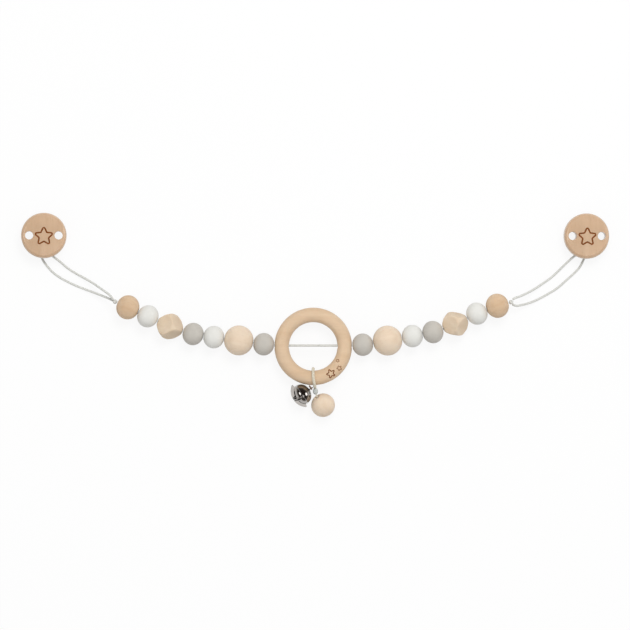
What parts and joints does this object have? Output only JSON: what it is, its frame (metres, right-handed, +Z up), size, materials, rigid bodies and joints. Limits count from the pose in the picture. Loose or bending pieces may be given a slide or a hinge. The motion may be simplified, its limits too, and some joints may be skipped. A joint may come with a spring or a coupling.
{
  "type": "pram chain toy",
  "caption": "Wooden bead chain for a pram, with a teething ring, a hanging bell and bead, and a disc clip at each end.",
  "frame": {"origin": "middle of the toy's box, on the surface that it lies on", "axes": "+X along the chain from the left clip to the right one, +Y towards the clips in the plane of the surface, +Z up from the surface"},
  "size_m": [0.4764, 0.1654, 0.0243],
  "materials": {
    "pale_wood": "fine sanded natural wood, waxed",
    "clip_wood": "fine sanded natural wood, satin",
    "white_lacquer": "satin white lacquer on wood",
    "grey_lacquer": "satin warm grey lacquer on wood",
    "white_cord": "braided white polyester cord",
    "cream_cord": "twisted cream cord",
    "plated_steel": "nickel plated steel",
    "clear_plastic": "milky soft plastic"
  },
  "bodies": {
    "cord": {"cord_centre": "white_cord"},
    "ring": {"wood_ring": "pale_wood"},
    "left_link_1": {"left_cord_1": "white_cord"},
    "left_bead_1": {"left_bead_1_grey": "grey_lacquer"},
    "left_link_2": {"left_cord_2": "white_cord"},
    "left_bead_2": {"left_bead_2_large_wood": "pale_wood"},
    "left_link_3": {"left_cord_3": "white_cord"},
    "left_bead_3": {"left_bead_3_white": "white_lacquer"},
    "left_link_4": {"left_cord_4": "white_cord"},
    "left_bead_4": {"left_bead_4_grey": "grey_lacquer"},
    "left_link_5": {"left_cord_5": "white_cord"},
    "left_bead_5": {"left_bead_5_cut_wood": "pale_wood"},
    "left_link_6": {"left_cord_6": "white_cord"},
    "left_bead_6": {"left_bead_6_white": "white_lacquer"},
    "left_link_7": {"left_cord_7": "white_cord"},
    "left_bead_7": {"left_bead_7_small_wood": "pale_wood"},
    "left_loop": {"left_end_knot": "white_cord", "left_cord_loop": "white_cord"},
    "left_clip": {"left_clip_disc": "clip_wood", "left_clip_frame": "plated_steel", "left_clip_pad": "clear_plastic", "left_clip_pin": "plated_steel", "left_clip_screw_upper": "plated_steel", "left_clip_screw_lower": "plated_steel"},
    "left_lever": {"left_clip_lever": "plated_steel"},
    "right_link_1": {"right_cord_1": "white_cord"},
    "right_bead_1": {"right_bead_1_grey": "grey_lacquer"},
    "right_link_2": {"right_cord_2": "white_cord"},
    "right_bead_2": {"right_bead_2_large_wood": "pale_wood"},
    "right_link_3": {"right_cord_3": "white_cord"},
    "right_bead_3": {"right_bead_3_white": "white_lacquer"},
    "right_link_4": {"right_cord_4": "white_cord"},
    "right_bead_4": {"right_bead_4_grey": "grey_lacquer"},
    "right_link_5": {"right_cord_5": "white_cord"},
    "right_bead_5": {"right_bead_5_cut_wood": "pale_wood"},
    "right_link_6": {"right_cord_6": "white_cord"},
    "right_bead_6": {"right_bead_6_white": "white_lacquer"},
    "right_link_7": {"right_cord_7": "white_cord"},
    "right_bead_7": {"right_bead_7_small_wood": "pale_wood"},
    "right_loop": {"right_end_knot": "white_cord", "right_cord_loop": "white_cord"},
    "right_clip": {"right_clip_disc": "clip_wood", "right_clip_frame": "plated_steel", "right_clip_pad": "clear_plastic", "right_clip_pin": "plated_steel", "right_clip_screw_upper": "plated_steel", "right_clip_screw_lower": "plated_steel"},
    "right_lever": {"right_clip_lever": "plated_steel"},
    "pendant": {"pendant_loop": "cream_cord", "pendant_knot": "cream_cord", "bell_tie": "cream_cord"},
    "bell": {"bell_cap": "plated_steel", "bell_cup": "plated_steel"},
    "pea": {"bell_pea": "plated_steel"},
    "bead_cord": {"pendant_bead_cord": "cream_cord"},
    "pendant_bead": {"pendant_bead": "pale_wood"}
  },
  "joints": [
    {"name": "ring_spin", "type": "hinge", "parent": "cord", "child": "ring", "pos_m": [-0.00153, -0.02482, 0.01215], "axis": [1, 0, 0], "continuous": true},
    {"name": "left_bend_1", "type": "hinge", "parent": "cord", "child": "left_link_1", "pos_m": [-0.03318, -0.02482, 0.01215], "axis": [0, 0, -1], "range_deg": [-17.8, 3.8]},
    {"name": "left_bead_1_spin", "type": "hinge", "parent": "left_link_1", "child": "left_bead_1", "pos_m": [-0.04161, -0.02378, 0.01215], "axis": [-0.9925, 0.1219, 0], "continuous": true},
    {"name": "left_bend_2", "type": "hinge", "parent": "left_link_1", "child": "left_link_2", "pos_m": [-0.05005, -0.02275, 0.01215], "axis": [0, 0, -1], "range_deg": [-13.8, 7.8]},
    {"name": "left_bead_2_spin", "type": "hinge", "parent": "left_link_2", "child": "left_bead_2", "pos_m": [-0.06182, -0.02067, 0.01215], "axis": [-0.9848, 0.1736, 0], "continuous": true},
    {"name": "left_bend_3", "type": "hinge", "parent": "left_link_2", "child": "left_link_3", "pos_m": [-0.07358, -0.0186, 0.01215], "axis": [0, 0, -1], "range_deg": [-4.8, 16.8]},
    {"name": "left_bead_3_spin", "type": "hinge", "parent": "left_link_3", "child": "left_bead_3", "pos_m": [-0.08206, -0.018, 0.01215], "axis": [-0.9976, 0.0698, 0], "continuous": true},
    {"name": "left_bend_4", "type": "hinge", "parent": "left_link_3", "child": "left_link_4", "pos_m": [-0.09054, -0.01741, 0.01215], "axis": [0, 0, -1], "range_deg": [-19.8, 1.8]},
    {"name": "left_bead_4_spin", "type": "hinge", "parent": "left_link_4", "child": "left_bead_4", "pos_m": [-0.09883, -0.0155, 0.01215], "axis": [-0.9744, 0.225, 0], "continuous": true},
    {"name": "left_bend_5", "type": "hinge", "parent": "left_link_4", "child": "left_link_5", "pos_m": [-0.10711, -0.01358, 0.01215], "axis": [0, 0, -1], "range_deg": [-19.8, 1.8]},
    {"name": "left_bead_5_spin", "type": "hinge", "parent": "left_link_5", "child": "left_bead_5", "pos_m": [-0.11754, -0.00937, 0.01215], "axis": [-0.9272, 0.3746, 0], "continuous": true},
    {"name": "left_bend_6", "type": "hinge", "parent": "left_link_5", "child": "left_link_6", "pos_m": [-0.12797, -0.00516, 0.01215], "axis": [0, 0, -1], "range_deg": [-17.3, 4.3]},
    {"name": "left_bead_6_spin", "type": "hinge", "parent": "left_link_6", "child": "left_bead_6", "pos_m": [-0.13544, -0.0011, 0.01215], "axis": [-0.8788, 0.4772, 0], "continuous": true},
    {"name": "left_bend_7", "type": "hinge", "parent": "left_link_6", "child": "left_link_7", "pos_m": [-0.14291, 0.00296, 0.01215], "axis": [0, 0, -1], "range_deg": [-2.3, 19.3]},
    {"name": "left_bead_7_spin", "type": "hinge", "parent": "left_link_7", "child": "left_bead_7", "pos_m": [-0.15165, 0.00614, 0.01215], "axis": [-0.9397, 0.342, 0], "continuous": true},
    {"name": "left_loop_swing", "type": "hinge", "parent": "left_link_7", "child": "left_loop", "pos_m": [-0.16039, 0.00932, 0.01215], "axis": [0, 0, -1], "range_deg": [-15, 15]},
    {"name": "left_clip_swing", "type": "hinge", "parent": "left_loop", "child": "left_clip", "pos_m": [-0.22026, 0.05072, 0.00513], "axis": [0.9969, 0, -0.0785], "range_deg": [-45, 6]},
    {"name": "left_lever_open", "type": "hinge", "parent": "left_clip", "child": "left_lever", "pos_m": [-0.22046, 0.07582, 0.00254], "axis": [0.9969, 0, -0.0785], "range_deg": [0, 100]},
    {"name": "right_bend_1", "type": "hinge", "parent": "cord", "child": "right_link_1", "pos_m": [0.03012, -0.02482, 0.01215], "axis": [0, 0, 1], "range_deg": [-15.3, 6.3]},
    {"name": "right_bead_1_spin", "type": "hinge", "parent": "right_link_1", "child": "right_bead_1", "pos_m": [0.0386, -0.02415, 0.01215], "axis": [0.9969, 0.0785, 0], "continuous": true},
    {"name": "right_bend_2", "type": "hinge", "parent": "right_link_1", "child": "right_link_2", "pos_m": [0.04707, -0.02348, 0.01215], "axis": [0, 0, 1], "range_deg": [-19.3, 2.3]},
    {"name": "right_bead_2_spin", "type": "hinge", "parent": "right_link_2", "child": "right_bead_2", "pos_m": [0.05872, -0.0208, 0.01215], "axis": [0.9744, 0.225, 0], "continuous": true},
    {"name": "right_bend_3", "type": "hinge", "parent": "right_link_2", "child": "right_link_3", "pos_m": [0.07036, -0.01811, 0.01215], "axis": [0, 0, 1], "range_deg": [-4.3, 17.3]},
    {"name": "right_bead_3_spin", "type": "hinge", "parent": "right_link_3", "child": "right_bead_3", "pos_m": [0.07881, -0.01715, 0.01215], "axis": [0.9936, 0.1132, 0], "continuous": true},
    {"name": "right_bend_4", "type": "hinge", "parent": "right_link_3", "child": "right_link_4", "pos_m": [0.08725, -0.01618, 0.01215], "axis": [0, 0, 1], "range_deg": [-19.8, 1.8]},
    {"name": "right_bead_4_spin", "type": "hinge", "parent": "right_link_4", "child": "right_bead_4", "pos_m": [0.09544, -0.01391, 0.01215], "axis": [0.9636, 0.2672, 0], "continuous": true},
    {"name": "right_bend_5", "type": "hinge", "parent": "right_link_4", "child": "right_link_5", "pos_m": [0.10363, -0.01164, 0.01215], "axis": [0, 0, 1], "range_deg": [-19.8, 1.8]},
    {"name": "right_bead_5_spin", "type": "hinge", "parent": "right_link_5", "child": "right_bead_5", "pos_m": [0.1135, -0.00714, 0.01215], "axis": [0.91, 0.4147, 0], "continuous": true},
    {"name": "right_bend_6", "type": "hinge", "parent": "right_link_5", "child": "right_link_6", "pos_m": [0.12338, -0.00264, 0.01215], "axis": [0, 0, 1], "range_deg": [-11.8, 9.8]},
    {"name": "right_bead_6_spin", "type": "hinge", "parent": "right_link_6", "child": "right_bead_6", "pos_m": [0.13105, 0.00102, 0.01215], "axis": [0.9026, 0.4305, 0], "continuous": true},
    {"name": "right_bend_7", "type": "hinge", "parent": "right_link_6", "child": "right_link_7", "pos_m": [0.13872, 0.00468, 0.01215], "axis": [0, 0, 1], "range_deg": [-2.3, 19.3]},
    {"name": "right_bead_7_spin", "type": "hinge", "parent": "right_link_7", "child": "right_bead_7", "pos_m": [0.14762, 0.0074, 0.01215], "axis": [0.9563, 0.2924, 0], "continuous": true},
    {"name": "right_loop_swing", "type": "hinge", "parent": "right_link_7", "child": "right_loop", "pos_m": [0.15651, 0.01012, 0.01215], "axis": [0, 0, 1], "range_deg": [-15, 15]},
    {"name": "right_clip_swing", "type": "hinge", "parent": "right_loop", "child": "right_clip", "pos_m": [0.21924, 0.05022, 0.00513], "axis": [0.9969, 0, -0.0785], "range_deg": [-45, 6]},
    {"name": "right_lever_open", "type": "hinge", "parent": "right_clip", "child": "right_lever", "pos_m": [0.21904, 0.07532, 0.00254], "axis": [0.9969, 0, -0.0785], "range_deg": [0, 100]},
    {"name": "pendant_slide", "type": "hinge", "parent": "ring", "child": "pendant", "pos_m": [-0.00153, -0.02552, 0.01215], "axis": [0, 0, 1], "range_deg": [-45, 45]},
    {"name": "bell_swing", "type": "hinge", "parent": "pendant", "child": "bell", "pos_m": [-0.00325, -0.05951, 0.0109], "axis": [0.5461, -0.8377, 0], "range_deg": [-10, 45]},
    {"name": "pea_roll", "type": "hinge", "parent": "bell", "child": "pea", "pos_m": [-0.01063, -0.06432, 0.0109], "axis": [-0.8377, -0.5461, 0], "continuous": true},
    {"name": "pendant_bead_swing", "type": "hinge", "parent": "pendant", "child": "bead_cord", "pos_m": [0.00108, -0.06462, 0.01287], "axis": [0, 0, 1], "range_deg": [0, 35]},
    {"name": "pendant_bead_spin", "type": "hinge", "parent": "bead_cord", "child": "pendant_bead", "pos_m": [0.00647, -0.07322, 0.0097], "axis": [0.5358, -0.7567, -0.3746], "continuous": true}
  ]
}
